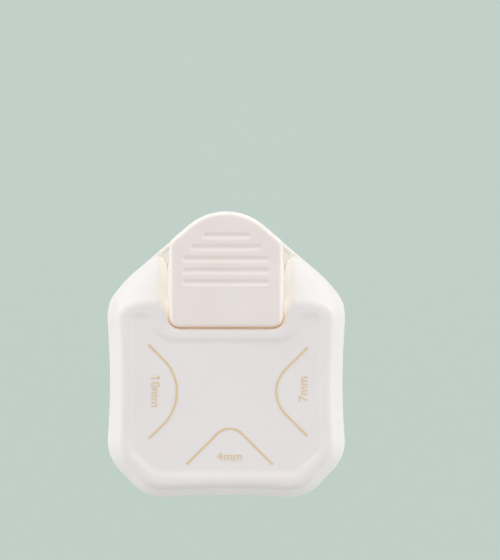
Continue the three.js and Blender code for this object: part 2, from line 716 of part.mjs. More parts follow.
// A compression spring round a guide post, from the guide plate to the carrier's wing.
function returnSpring(side) {
  const room = WING_BOTTOM - GUIDE_TOP - 2 * (SPRING_WIRE + SPRING_SEAT);
  const wire = new THREE.Shape();
  wire.absarc(0, 0, SPRING_WIRE, 0, 2 * Math.PI, false);
  const geometry = new THREE.ExtrudeGeometry(wire, {
    curveSegments: 3,
    steps: SPRING_TURNS * 12,
    bevelEnabled: false,
    extrudePath: new Helix(SPRING_RADIUS, SPRING_TURNS, room),
  });
  geometry.translate(side * POST_X, PUNCH_Y, GUIDE_TOP + SPRING_WIRE + SPRING_SEAT);
  return solid(geometry);
}

// ---------------------------------------------------------------- assembly

const rounder = new THREE.Group();

function add(name, body, color, roughness, metalness = 0) {
  const material = new THREE.MeshStandardMaterial({ color, roughness, metalness });
  const mesh = new THREE.Mesh(geometryOf(body), material);
  mesh.name = name;
  rounder.add(mesh);
}

add('base_shell', baseShell(), CREAM, 0.45);
add('top_cover', topCover(), CREAM, 0.45);
add('press_lever', pressLever(), LEVER_CREAM, 0.45);
add('waste_tray', wasteTray(), CLEAR_GREY, 0.35);

add('die_plate', plate(DIE_BOTTOM, SLOT_BOTTOM, CUT_GAP), BLADE_STEEL, 0.3, 1);
add('paper_guide_left', paperGuide(-40, -1, -40, -10), STEEL, 0.4, 1);
add('paper_guide_right', paperGuide(1, 40, -40, -10), STEEL, 0.4, 1);
add('paper_guide_rear', paperGuide(-40, 40, -6, 40), STEEL, 0.4, 1);
add('guide_plate', guidePlate(), STEEL, 0.4, 1);

add('punch_block', punchBlock(), BLADE_STEEL, 0.25, 1);
add('punch_carrier', punchCarrier(), STEEL, 0.45, 1);
for (const [place, y] of PUNCH_SCREWS) {
  const body = screw(0, y, CARRIER_TOP + PUNCH_SCREW.headHeight, -1, PUNCH_SCREW);
  add(`punch_screw_${place}`, body, STEEL, 0.35, 1);
}

const pivotHalf = SADDLE_OUT - 0.2;
add('pivot_pin', cylinderX(PIVOT_Y, PIVOT_Z, PIN_RADIUS, -pivotHalf, pivotHalf), STEEL, 0.25, 1);
add('drive_pin', cylinderX(PUNCH_Y, PIVOT_Z, PIN_RADIUS, -CHEEK_OUT, CHEEK_OUT), STEEL, 0.25, 1);

for (const [place, side] of [['left', -1], ['right', 1]]) {
  const strapX = side * STRAP_SCREW_X;
  const strapBottom = SADDLE_UNDER - STRAP_THICK;
  const [x0, x1] = ordered(side * (SADDLE_IN + 0.3), side * (SADDLE_OUT - 0.2));
  const bar = box(x0, x1, STRAP_FRONT_Y, STRAP_REAR_Y, strapBottom, SADDLE_UNDER);
  const holeRadius = STRAP_SCREW.radius + 0.1;
  const hole = cylinderZ(strapX, STRAP_SCREW_Y, holeRadius, strapBottom - 1, SADDLE_UNDER + 1, 14);
  add(`pivot_strap_${place}`, bar.subtract(hole), STEEL, 0.4, 1);
  const strapScrew = screw(strapX, STRAP_SCREW_Y, strapBottom - STRAP_SCREW.headHeight, 1, STRAP_SCREW);
  add(`strap_screw_${place}`, strapScrew, STEEL, 0.35, 1);
  const post = cylinderZ(side * POST_X, PUNCH_Y, POST_RADIUS, SLOT_TOP, POST_TOP);
  add(`guide_post_${place}`, post, STEEL, 0.25, 1);
  add(`return_spring_${place}`, returnSpring(side), SPRING_STEEL, 0.3, 1);
}

for (const [place, x, y] of DIE_SCREWS) {
  const body = screw(x, y, GUIDE_TOP + DIE_SCREW.headHeight, -1, DIE_SCREW);
  add(`die_screw_${place}`, body, STEEL, 0.35, 1);
}
for (const [place, x, y] of HOUSING_SCREWS) {
  const body = screw(x, y, HEAD_TOP - HOUSING_SCREW.headHeight, 1, HOUSING_SCREW);
  add(`housing_screw_${place}`, body, STEEL, 0.35, 1);
}

export default rounder;
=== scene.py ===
"""A three-way corner rounder, seen from straight above on a pale floor.

The moulded shells are grown as smooth solids from distance fields, in millimetres, and then
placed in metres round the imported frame. X is to the right, Y towards the thumb end, Z up.
"""

import math

import bmesh
import bpy
import numpy as np
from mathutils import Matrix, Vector


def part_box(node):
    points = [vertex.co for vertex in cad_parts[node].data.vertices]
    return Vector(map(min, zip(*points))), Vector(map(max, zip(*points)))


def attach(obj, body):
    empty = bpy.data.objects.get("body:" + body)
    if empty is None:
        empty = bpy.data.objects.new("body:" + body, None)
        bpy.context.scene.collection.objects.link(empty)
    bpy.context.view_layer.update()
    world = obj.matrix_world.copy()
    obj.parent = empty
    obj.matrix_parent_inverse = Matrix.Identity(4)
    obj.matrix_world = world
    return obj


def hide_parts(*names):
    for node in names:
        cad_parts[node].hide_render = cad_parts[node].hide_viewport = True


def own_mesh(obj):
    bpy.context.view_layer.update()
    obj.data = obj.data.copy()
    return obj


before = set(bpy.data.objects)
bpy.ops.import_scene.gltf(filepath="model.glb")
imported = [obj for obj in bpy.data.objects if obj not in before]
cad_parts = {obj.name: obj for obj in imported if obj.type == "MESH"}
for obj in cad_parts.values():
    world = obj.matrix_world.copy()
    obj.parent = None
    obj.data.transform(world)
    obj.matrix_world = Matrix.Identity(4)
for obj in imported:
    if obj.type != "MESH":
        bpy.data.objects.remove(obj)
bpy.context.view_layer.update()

MM = 0.001


def node_box(name):
    """Lowest and highest corner of a CAD node, in millimetres."""
    low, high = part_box(name)
    return np.array(low) / MM, np.array(high) / MM


# ------------------------------------------------------------------ sizes from the frame

COVER_HIGH = node_box("top_cover")[1]
BASE_HIGH = node_box("base_shell")[1]
TRAY_LOW, TRAY_HIGH = node_box("waste_tray")
DIE_LOW, DIE_HIGH = node_box("die_plate")

SLOT_BOTTOM = DIE_HIGH[2]
SLOT_TOP = node_box("guide_plate")[0][2]
RIDGE_TOP = COVER_HIGH[2]
ARM_END_Y = COVER_HIGH[1]
LEVER_HALF = node_box("press_lever")[1][0]

# The footprint's corners before rounding: x, y, radius.
WAIST_Y = -6.5
SHOULDER_X, SHOULDER_Y = 22.3, 16.9
NOSE_Y = 35.85
NOSE_RADIUS = 12.7
FOOTPRINT = [
    (0, -31.0, 170),
    (17.6, -31.95, 9.8),
    (26.7, -22.55, 8.8),
    (25.75, WAIST_Y, 150),
    (26.7, 11.3, 8.3),
    (SHOULDER_X, SHOULDER_Y, 27),
    (0, NOSE_Y, NOSE_RADIUS),
]
# The lowered panel inside the ridge, its corners given the same way.
PANEL = [
    (15.55, -26.3, 1.6),
    (21.2, -21.05, 2.4),
    (20.7, WAIST_Y, 200),
    (21.0, 9.1, 1.7),
    (16.3, 8.85, 1.7),
    (16.3, 3.45, 5.0),
]
PANEL_DROP = 0.3
WALL = 2.0
PANEL_UNDER = 26.0
PIVOT_Y, PIVOT_Z = -22.0, 22.5
PIN_RADIUS = 1.5
PUNCH_Y = -8.0
NOTCH_GAP = 0.33
LEVER_FRONT_Y = 6.33
LEVER_FRONT_TOP = 29.6
LEVER_SLOPE = math.tan(math.radians(12))
BASE_DRAFT = 1.2
REAR_DECK = 11.0
REAR_SHELF = 14.3
REAR_RIM = 15.0
TRAY_HINGE_Y, TRAY_HINGE_Z = 10.0, 2.4
# Where the sheet's corner comes to rest in each slot, and the way it points, in degrees.
PAPER_CORNERS = [((-6.9, PUNCH_Y), 0), ((8.2, PUNCH_Y), 180), ((0.0, -14.5), 90)]
HOUSING_SCREWS = [(-17.2, -24.6), (17.2, -24.6), (-19.4, 9.2), (19.4, 9.2)]
POST_RADIUS = 2.7
SEAM = 0.04


# ------------------------------------------------------------------ outlines

def mirrored(corners):
    """The right-hand corners, then their mirror images in reverse order."""
    left = [(-x, y, r) for x, y, r in corners if x != 0]
    return corners + left[::-1]


def rounded(corners, steps=10):
    """The closed outline through the corners, each one rounded by an arc."""
    outline = []
    for i, (x, y, radius) in enumerate(corners):
        here = Vector((x, y))
        back = (Vector(corners[i - 1][:2]) - here).normalized()
        ahead = (Vector(corners[(i + 1) % len(corners)][:2]) - here).normalized()
        half = math.acos(max(-1.0, min(1.0, back.dot(ahead)))) / 2
        centre = here + (back + ahead).normalized() * (radius / math.sin(half))
        start = here + back * (radius / math.tan(half)) - centre
        convex = back.x * ahead.y - back.y * ahead.x < 0
        sweep = (math.pi - 2 * half) * (1 if convex else -1)
        for step in range(steps + 1):
            angle = sweep * step / steps
            c, s = math.cos(angle), math.sin(angle)
            outline.append((centre.x + c * start.x - s * start.y, centre.y + s * start.x + c * start.y))
    return np.array(outline)


def outline_distance(outline, x, y):
    """Signed distance from (x, y) to a closed outline, negative inside."""
    nearest = np.full(np.broadcast(x, y).shape, 1e9)
    inside = np.zeros(nearest.shape, bool)
    for (ax, ay), (bx, by) in zip(outline, np.roll(outline, -1, axis=0)):
        ex, ey = bx - ax, by - ay
        along = np.clip(((x - ax) * ex + (y - ay) * ey) / (ex * ex + ey * ey + 1e-12), 0, 1)
        nearest = np.minimum(nearest, (x - ax - along * ex) ** 2 + (y - ay - along * ey) ** 2)
        if ay != by:
            inside ^= ((ay > y) != (by > y)) & (x < ax + ex * (y - ay) / ey)
    return np.sqrt(nearest) * np.where(inside, -1, 1)


# ------------------------------------------------------------------ distance fields

class Field:
    """A box of grid points round a shape. Each shape is a function of x, y and z in millimetres."""

    def __init__(self, low, high, step):
        self.low = np.asarray(low, float) - 3.0 * step
        self.step = step
        count = np.ceil((np.asarray(high) + 3.0 * step - self.low) / step).astype(int) + 1
        axes = [self.low[i] + step * np.arange(count[i]) for i in range(3)]
        self.x = axes[0][:, None, None]
        self.y = axes[1][None, :, None]
        self.z = axes[2][None, None, :]

    def plan(self, corners, steps=10):
        """Distance to an outline seen from above."""
        return outline_distance(rounded(corners, steps), self.x, self.y)

    def side(self, outline):
        """Distance to an outline seen along X."""
        return outline_distance(np.array(outline), self.y, self.z)

    def bar(self, axis, centre, radius, start, end):
        """A round bar along an axis (0, 1 or 2)."""
        at = [self.x, self.y, self.z]
        along = at.pop(axis)
        reach = np.sqrt((at[0] - centre[0]) ** 2 + (at[1] - centre[1]) ** 2) - radius
        return np.maximum(reach, np.maximum(start - along, along - end))

    def block(self, low, high):
        """A square-cornered block."""
        at = (self.x, self.y, self.z)
        parts = [np.maximum(low[i] - at[i], at[i] - high[i]) for i in range(3)]
        return np.maximum(np.maximum(parts[0], parts[1]), parts[2])


def rounded_max(a, b, round_by):
    """The larger of two fields, with the edge between them rounded off."""
    blend = np.maximum(round_by - np.abs(a - b), 0) / round_by
    return np.maximum(a, b) + blend * blend * round_by / 4


def rounded_min(a, b, round_by):
    return -rounded_max(-a, -b, round_by)


def smooth_step(value, start, end):
    """From 0 at the start to 1 at the end, level at both."""
    t = np.clip((value - start) / (end - start), 0, 1)
    return t * t * (3 - 2 * t)


def skin(values, low, step):
    """Vertices and four-sided faces of the surface where the field changes sign."""
    inside = values < 0
    cells = tuple(n - 1 for n in values.shape)
    corners = [(i, j, k) for i in (0, 1) for j in (0, 1) for k in (0, 1)]

    def shifted(array, corner):
        return array[tuple(slice(c, c + n) for c, n in zip(corner, cells))]

    filled = sum(shifted(inside, c).astype(np.int8) for c in corners)
    active = np.argwhere((filled > 0) & (filled < 8))
    number = np.full(cells, -1, np.int64)
    number[tuple(active.T)] = np.arange(len(active))
    total = np.zeros((len(active), 3))
    crossings = np.zeros(len(active))
    at = {c: values[tuple((active + c).T)] for c in corners}
    for a in corners:
        for axis in range(3):
            if a[axis]:
                continue
            b = tuple(c + (i == axis) for i, c in enumerate(a))
            crossed = (at[a] < 0) != (at[b] < 0)
            share = at[a] / np.where(crossed, at[a] - at[b], 1)
            point = active + np.array(a, float)
            point[:, axis] += share
            total += np.where(crossed[:, None], point, 0)
            crossings += crossed
    vertices = low + step * total / crossings[:, None]
    faces = []
    for axis in range(3):
        u, v = (axis + 1) % 3, (axis + 2) % 3
        size = list(values.shape)
        size[axis] -= 1
        near = inside[tuple(slice(0, n) for n in size)]
        far = inside[tuple(slice(i == axis, n + (i == axis)) for i, n in enumerate(size))]
        for edges, order in ((near & ~far, (0, 1, 2, 3)), (far & ~near, (3, 2, 1, 0))):
            spot = np.argwhere(edges)
            spot = spot[(spot[:, u] > 0) & (spot[:, v] > 0)]
            ring = []
            for du, dv in ((1, 1), (0, 1), (0, 0), (1, 0)):
                cell = spot.copy()
                cell[:, u] -= du
                cell[:, v] -= dv
                ring.append(number[tuple(cell.T)])
            faces.append(np.stack([ring[i] for i in order], axis=1))
    return vertices, np.concatenate(faces)


def grown(name, field, values, body, node_name, material):
    """A piece whose surface is the field's zero level. It stands for the CAD node named."""
    full = np.broadcast_to(values, (field.x.size, field.y.size, field.z.size))
    vertices, faces = skin(full, field.low, field.step)
    mesh = bpy.data.meshes.new(name)
    mesh.from_pydata((vertices * MM).tolist(), [], faces.tolist())
    mesh.shade_smooth()
    mesh.update()
    piece = bpy.data.objects.new(name, mesh)
    bpy.context.scene.collection.objects.link(piece)
    mesh.materials.append(material)
    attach(piece, body)
    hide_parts(node_name)


# ------------------------------------------------------------------ materials

def new_material(name):
    material = bpy.data.materials.new(name)
    material.use_nodes = True
    tree = material.node_tree
    return material, tree, tree.nodes["Principled BSDF"]


def node(tree, kind, **settings):
    made = tree.nodes.new(kind)
    for key, value in settings.items():
        if key in made.inputs:
            made.inputs[key].default_value = value
        else:
            setattr(made, key, value)
    return made


def noise(tree, scale, detail, stretch=(1, 1, 1)):
    """Noise over the object's own coordinates, in features per metre."""
    place = node(tree, "ShaderNodeTexCoord")
    squeeze = node(tree, "ShaderNodeMapping")
    squeeze.inputs["Scale"].default_value = stretch
    grain = node(tree, "ShaderNodeTexNoise", Scale=scale, Detail=detail, Roughness=0.55)
    tree.links.new(place.outputs["Object"], squeeze.inputs["Vector"])
    tree.links.new(squeeze.outputs["Vector"], grain.inputs["Vector"])
    return grain.outputs["Fac"]


def spread(tree, fac, low, high, from_low=0.3, from_high=0.7):
    """A value carried from one range to another."""
    move = node(tree, "ShaderNodeMapRange")
    move.inputs["From Min"].default_value = from_low
    move.inputs["From Max"].default_value = from_high
    move.inputs["To Min"].default_value = low
    move.inputs["To Max"].default_value = high
    tree.links.new(fac, move.inputs["Value"])
    return move.outputs["Result"]


def worked(tree, operation, first, second):
    """A sum on two values, each either a socket or a number."""
    step = node(tree, "ShaderNodeMath", operation=operation)
    for socket, value in zip(step.inputs, (first, second)):
        if isinstance(value, (int, float)):
            socket.default_value = value
        else:
            tree.links.new(value, socket)
    return step.outputs[0]


def product(tree, first, second):
    return worked(tree, "MULTIPLY", first, second)


def summed(tree, first, second):
    return worked(tree, "ADD", first, second)


def hidden(tree, reach, closed, clear):
    """How much of the sky is hidden by surfaces within reach, from 0 in the open to 1."""
    sky = node(tree, "ShaderNodeAmbientOcclusion", Distance=reach, samples=4).outputs["AO"]
    return spread(tree, sky, 1, 0, closed, clear)


def blended(tree, fac, first, second):
    mix = node(tree, "ShaderNodeMix", data_type="RGBA")
    for key, value in (("A", first), ("B", second)):
        socket = [s for s in mix.inputs if s.name == key and s.type == "RGBA"][0]
        if hasattr(value, "is_linked"):
            tree.links.new(value, socket)
        else:
            socket.default_value = (*value, 1)
    tree.links.new(fac, mix.inputs["Factor"])
    return [s for s in mix.outputs if s.type == "RGBA"][0]


def bumped(tree, shader, heights):
    """Bumps stacked one on another: each height is (value, distance in metres, strength)."""
    normal = None
    for value, distance, strength in heights:
        bump = node(tree, "ShaderNodeBump", Strength=strength, Distance=distance)
        tree.links.new(value, bump.inputs["Height"])
        if normal is not None:
            tree.links.new(normal, bump.inputs["Normal"])
        normal = bump.outputs["Normal"]
    tree.links.new(normal, shader.inputs["Normal"])


# Painted light: the walls and hollows beside the lever get a painted cream glow, and the gap in front
# of the lever a painted tan colour and glow, in place of light that comes through the plastic.
# Base colour, glow colour and glow strength of the painted cream glow, then of the painted tan gap.
CREAM_GLOW_BASE, CREAM_LIGHT, CREAM_GLOW = (0.34, 0.325, 0.30), (1.0, 0.95, 0.84), 0.52
TAN_GLOW_BASE, TAN_LIGHT, TAN_GLOW = (0.70, 0.55, 0.41), (0.71, 0.545, 0.395), 0.26
# Where each begins and ends, in metres. The lower limit falls towards the rear.
GLOW_HEIGHT, GLOW_FALL = (0.0150, 0.0170), 0.25
CREAM_START, TAN_END = (0.0062, 0.0115), (0.0066, 0.0125)
SHELF_HEIGHT = (0.0146, 0.0156)
# How far a surface's normal turns towards the middle, or up, for none and all of its share.
FACING_IN, FACING_UP = (-0.20, -0.75), (0.5, 0.9)
# How near the surfaces are that hide the sky, and the open share of sky for all and none.
HOLLOW, GAP = (0.008, 0.50, 0.92), (0.0016, 0.10, 0.60)


def parts_of(tree, vector):
    split = node(tree, "ShaderNodeSeparateXYZ")
    tree.links.new(vector, split.inputs[0])
    return split.outputs


def painted_seeping_light(tree, shader, surface):
    """Painted glow and painted gap colour of a moulding, laid over the colour of its open surface."""
    x, y, z = parts_of(tree, node(tree, "ShaderNodeTexCoord").outputs["Object"])
    upper = spread(tree, summed(tree, z, product(tree, y, GLOW_FALL)), 0, 1, *GLOW_HEIGHT)
    front = product(tree, spread(tree, y, 1, 0, *TAN_END), upper)
    rear = product(tree, spread(tree, y, 0, 1, *CREAM_START), upper)
    facing = parts_of(tree, node(tree, "ShaderNodeNewGeometry").outputs["Normal"])
    outward = product(tree, worked(tree, "SIGN", x, 0), facing["X"])
    wall = spread(tree, outward, 0, 1, *FACING_IN)
    level = spread(tree, facing["Z"], 0, 1, *FACING_UP)
    # Low shelves facing up at the rear also get the painted cream glow.
    shelf = product(tree, spread(tree, z, 1, 0, *SHELF_HEIGHT), level)
    hollow = worked(tree, "MAXIMUM", hidden(tree, *HOLLOW), shelf)
    # Painted cream glow on inward-facing walls and sky-hidden hollows at the rear.
    painted_cream_glow = product(tree, worked(tree, "MAXIMUM", wall, hollow), rear)
    # Painted tan colour and glow where the narrow gap in front of the lever hides the sky.
    tan = product(tree, hidden(tree, *GAP), front)
    # The base colour goes to the painted glow bases and emission is added where the glow is painted.
    colour = blended(tree, tan, blended(tree, painted_cream_glow, surface, CREAM_GLOW_BASE), TAN_GLOW_BASE)
    glow = summed(tree, product(tree, painted_cream_glow, CREAM_GLOW), product(tree, tan, TAN_GLOW))
    tree.links.new(colour, shader.inputs["Base Color"])
    tree.links.new(blended(tree, tan, CREAM_LIGHT, TAN_LIGHT), shader.inputs["Emission Color"])
    tree.links.new(glow, shader.inputs["Emission Strength"])


def plastic(name, colour, deep, worn_and_highlit, roughness=0.42):
    """Moulded plastic: fine spark texture, faint clouding, edges lighter as wear and a painted
    highlight, and painted glow in hollows.
    """
    material, tree, shader = new_material(name)
    cloud = noise(tree, 90, 3)
    fine = noise(tree, 5200, 2)
    # Convex edges are painted lighter: partly wear, partly a painted highlight.
    edge = node(tree, "ShaderNodeNewGeometry").outputs["Pointiness"]
    edge_wear_and_highlight = spread(tree, edge, 0, 1, 0.52, 0.60)
    speckle = noise(tree, 900, 4)
    patchy_wear_and_highlight = product(tree, edge_wear_and_highlight, spread(tree, speckle, 0.25, 1))
    base = blended(tree, spread(tree, cloud, 0, 1), colour, deep)
    rubbed_and_highlit = blended(tree, patchy_wear_and_highlight, base, worn_and_highlit)
    painted_seeping_light(tree, shader, rubbed_and_highlit)
    tree.links.new(spread(tree, fine, roughness - 0.05, roughness + 0.07), shader.inputs["Roughness"])
    bumped(tree, shader, [(fine, 0.00002, 0.35), (cloud, 0.00005, 0.10)])
    shader.inputs["IOR"].default_value = 1.52
    shader.inputs["Subsurface Weight"].default_value = 0.3
    shader.inputs["Subsurface Radius"].default_value = (1.2, 1.0, 0.85)
    shader.inputs["Subsurface Scale"].default_value = 0.001
    return material


def steel(name, colour, dark, roughness, stretch=(1, 14, 1)):
    """Steel with drawn or ground lines along one way, and a little staining."""
    material, tree, shader = new_material(name)
    lines = noise(tree, 1400, 3, stretch)
    stain = noise(tree, 160, 4)
    tree.links.new(blended(tree, spread(tree, stain, 0, 1), colour, dark), shader.inputs["Base Color"])
    tree.links.new(spread(tree, lines, roughness - 0.08, roughness + 0.12), shader.inputs["Roughness"])
    bumped(tree, shader, [(lines, 0.00002, 0.25)])
    shader.inputs["Metallic"].default_value = 1
    return material


def ink(name, colour, pale):
    """Metallic ink, a little uneven where it lies on the moulded texture."""
    material, tree, shader = new_material(name)
    patch = noise(tree, 3000, 3)
    tree.links.new(blended(tree, spread(tree, patch, 0, 1), colour, pale), shader.inputs["Base Color"])
    tree.links.new(spread(tree, patch, 0.38, 0.55), shader.inputs["Roughness"])
    bumped(tree, shader, [(patch, 0.00001, 0.3)])
    shader.inputs["Metallic"].default_value = 0.25
    return material


COVER_PLASTIC = plastic(
    "cover_plastic", (0.79, 0.76, 0.77), (0.775, 0.74, 0.745), (0.83, 0.81, 0.81)
)
LEVER_PLASTIC = plastic(
    "lever_plastic", (0.866, 0.805, 0.79), (0.846, 0.78, 0.76), (0.89, 0.85, 0.83)
)
TRAY_PLASTIC = plastic(
    "tray_plastic", (0.66, 0.68, 0.67), (0.62, 0.645, 0.635), (0.74, 0.76, 0.75), 0.34
)
BLADE_STEEL = steel("blade_steel", (0.46, 0.47, 0.49), (0.36, 0.37, 0.39), 0.28)
PLAIN_STEEL = steel("plain_steel", (0.60, 0.61, 0.62), (0.50, 0.51, 0.53), 0.36)
PIN_STEEL = steel("pin_steel", (0.66, 0.67, 0.68), (0.56, 0.57, 0.59), 0.22, (14, 1, 1))
SPRING_STEEL = steel("spring_steel", (0.56, 0.57, 0.58), (0.44, 0.45, 0.47), 0.30)
GOLD_INK = ink("gold_ink", (0.76, 0.59, 0.34), (0.80, 0.65, 0.41))


# ------------------------------------------------------------------ top cover

FOOTPRINT_PLAN = mirrored(FOOTPRINT)
# The arms slope down from the ridge to their ends. Their flanks beside the lever lean away from it.
ARM_START_Y, ARM_END_Z = 12.3, 17.2
ARM_ANGLE = math.atan((RIDGE_TOP - ARM_END_Z) / (ARM_END_Y - ARM_START_Y))
ARM_CORNER = 3.3
ARM_SIDE_ROUND = 4.5
ARM_END_ROUND = 1.2
ARM_WALL = 1.6
ARM_ROOF = 2.4
FLANK_WIDTH, FLANK_STEEPNESS, FLANK_START = 1.7, 1.4, (9.2, 11.7)
PANEL_RAMP, FRONT_RAMP = 1.05, 1.30
RIDGE_ROUND, REAR_RIDGE_ROUND = 1.7, 1.1
NOTCH_ROUND = 0.7
POST_BORE, POST_BORE_TOP = 1.02, 18.6
SADDLE_IN, SADDLE_OUT, SADDLE_FRONT_Y, SADDLE_REAR_Y = 8.2, 13.4, -28.5, PIVOT_Y + 3.2
COVER_LEAN = [SLOT_BOTTOM, 24, 27, RIDGE_TOP], [0, 1.75, 2.2, 2.4]
FRONT_LEAN = 0.84
NOTCH = mirrored([
    (LEVER_HALF + NOTCH_GAP, LEVER_FRONT_Y - NOTCH_GAP, 2.4 + NOTCH_GAP),
    (LEVER_HALF + NOTCH_GAP, 60, 1),
])


def cover_inset(y, z):
    """How far the cover's side has leaned in at a height. The front stands a little steeper."""
    return np.interp(z, *COVER_LEAN) * (1 + (FRONT_LEAN - 1) * smooth_step(-y, 24, 30))


def base_inset(z):
    """How far the base's side has leaned in at a height, measured down from the slots."""
    return BASE_DRAFT * np.clip(1 - z / SLOT_BOTTOM, 0, 1.1)


def paper_slots(g, footprint):
    """The three slots, each a quarter of the plane behind a paper corner, flared at the skin."""
    middle, half = (SLOT_BOTTOM + SLOT_TOP) / 2, (SLOT_TOP - SLOT_BOTTOM) / 2
    flare = np.clip((footprint + 2.2) / 2.2, 0, 1.2)
    height = np.abs(g.z - middle) - half - flare
    slots = None
    for (cx, cy), facing in PAPER_CORNERS:
        edges = []
        for turn in (-45, 45):
            a = math.radians(facing + turn)
            edges.append((g.x - cx) * math.cos(a) + (g.y - cy) * math.sin(a))
        slot = np.maximum(np.maximum(edges[0], edges[1]), height)
        slots = slot if slots is None else np.minimum(slots, slot)
    return slots


def cover_form(g, side, slope):
    """The cover as a solid lump: ridge, panel, sloping arms and the lever's notch."""
    panel = g.plan(mirrored(PANEL))
    ramp = PANEL_RAMP + (FRONT_RAMP - PANEL_RAMP) * smooth_step(-g.y, 22, 27)
    top = RIDGE_TOP - PANEL_DROP * smooth_step(-panel / ramp, -0.6, 0.8)
    notch = g.plan(NOTCH)
    flank_width = FLANK_WIDTH * smooth_step(g.y, *FLANK_START)
    flank = np.maximum(g.z - top, slope) + FLANK_STEEPNESS * (flank_width - notch)
    ridge_round = RIDGE_ROUND + (REAR_RIDGE_ROUND - RIDGE_ROUND) * smooth_step(g.y, 6, 10)
    notch_round = NOTCH_ROUND + (ARM_CORNER - NOTCH_ROUND) * smooth_step(g.y, 15, 20)
    form = rounded_max(side, slope, ARM_SIDE_ROUND)
    form = rounded_max(form, g.z - top, ridge_round)
    form = rounded_max(form, flank / math.hypot(1, FLANK_STEEPNESS), 0.9)
    form = rounded_max(form, g.y - ARM_END_Y, ARM_END_ROUND)
    return rounded_max(form, -notch, notch_round)


def cover_values(g):
    footprint = g.plan(FOOTPRINT_PLAN)
    side = footprint + cover_inset(g.y, g.z)
    slope = (g.y - ARM_START_Y) * math.sin(ARM_ANGLE) + (g.z - RIDGE_TOP) * math.cos(ARM_ANGLE)
    form = cover_form(g, side, slope)

    cavity = np.maximum(side + WALL, g.z - PANEL_UNDER)
    cavity = np.maximum(cavity, np.maximum(slope + ARM_ROOF, g.y - ARM_END_Y + WALL))
    arm_wall = np.maximum(np.abs(g.x) - LEVER_HALF - NOTCH_GAP - ARM_WALL, LEVER_FRONT_Y + 2 - g.y)
    cavity = np.maximum(cavity, -arm_wall)
    shell = rounded_max(form, -cavity, 0.5)

    inside = np.maximum(form, SLOT_BOTTOM - g.z)
    for x, y in HOUSING_SCREWS:
        post = g.bar(2, (x, y), POST_RADIUS, SLOT_BOTTOM, PANEL_UNDER + 1)
        post = np.maximum(post, -g.bar(2, (x, y), POST_BORE, 0, POST_BORE_TOP))
        shell = np.minimum(shell, np.maximum(post, inside))
    for side_x in (-1, 1):
        near, far = sorted((side_x * SADDLE_IN, side_x * SADDLE_OUT))
        low = (near, SADDLE_FRONT_Y, PIVOT_Z - PIN_RADIUS)
        saddle = g.block(low, (far, SADDLE_REAR_Y, PANEL_UNDER + 1))
        saddle = np.maximum(saddle, -g.bar(0, (PIVOT_Y, PIVOT_Z), PIN_RADIUS + 0.03, -14, 14))
        groove = g.block((-14, PIVOT_Y - PIN_RADIUS, 15), (14, PIVOT_Y + PIN_RADIUS, PIVOT_Z))
        saddle = np.maximum(saddle, -groove)
        shell = np.minimum(shell, np.maximum(saddle, inside))
    shell = rounded_max(shell, SLOT_BOTTOM + SEAM - g.z, 0.35)
    return rounded_max(shell, -paper_slots(g, footprint), 0.4)


# ------------------------------------------------------------------ base shell

# The punch's corner recesses: their middle, the way they point, their radius and the small
# steps that end each of them.
PUNCH_RECESSES = [
    (PAPER_CORNERS[0][0], 0, 10, (-1, 1), (-1, -1)),
    (PAPER_CORNERS[2][0], 90, 4, (-1, -1), (1, -1)),
    (PAPER_CORNERS[1][0], 180, 7, (1, -1), (1, 1)),
]
DROP_GAP = 1.2
DECK_REAR_Y = DIE_HIGH[1] + 3.0
BULKHEAD = 1.6
RIM_FRONT_Y = ARM_END_Y + 0.25
RIM_WALL = 1.1
REAR_FLOOR_Y, REAR_FLOOR_TOP = 12.4, 1.5
SCREW_BORE, SCREW_HEAD, SCREW_SEAT = 1.12, 2.15, 9.2
BOSS_BOTTOM = 6.4
PEG_HOLE, PEG_HOLE_END = 1.18, 24.45
FINGER_NOTCH = (-4.3, -40, -5), (4.3, -27, 2.4)


def punch_outline(grow):
    """The punch in plan: three hollow arcs joined by straight sides, grown by an allowance."""
    over = math.pi / 4 + 0.11
    points = []
    for (cx, cy), facing, radius, start, end in PUNCH_RECESSES:
        a = math.radians(facing)
        away = radius * math.sqrt(2)
        centre = (cx - away * math.cos(a), cy - away * math.sin(a))
        reach = radius - grow
        angles = [a + over * (1 - step / 8) for step in range(17)]
        arc = [(centre[0] + reach * math.cos(t), centre[1] + reach * math.sin(t)) for t in angles]
        arc.insert(0, (arc[0][0] + start[0] * (0.35 + grow), arc[0][1] + start[1] * (0.45 + grow)))
        arc.append((arc[-1][0] + end[0] * (0.35 + grow), arc[-1][1] + end[1] * (0.45 + grow)))
        points += arc
    return np.array(points)


def base_form(g, side):
    """The base as a solid lump with the rim that stands up behind the arms."""
    form = rounded_max(rounded_max(side, g.z - SLOT_BOTTOM + SEAM, 0.5), -g.z, 1.0)
    rim = rounded_max(side + 0.1, g.z - REAR_RIM, 0.9)
    rim = np.maximum(np.maximum(rim, RIM_FRONT_Y - g.y), SLOT_BOTTOM - 1 - g.z)
    return np.minimum(form, rim)


def rear_shelf(g, footprint):
    """The shelf inside the rim, carried forward round the rounded ends of the arms."""
    arm = rounded_max(footprint + cover_inset(g.y, g.z), g.y - ARM_END_Y, ARM_END_ROUND)
    arm = rounded_max(arm, -g.plan(NOTCH), ARM_CORNER)
    shelf = np.maximum(np.maximum(0.2 - arm, ARM_END_Y - ARM_CORNER - g.y), g.z - REAR_SHELF)
    return np.maximum(shelf, np.maximum(footprint + 1.0, SLOT_BOTTOM - 1 - g.z))


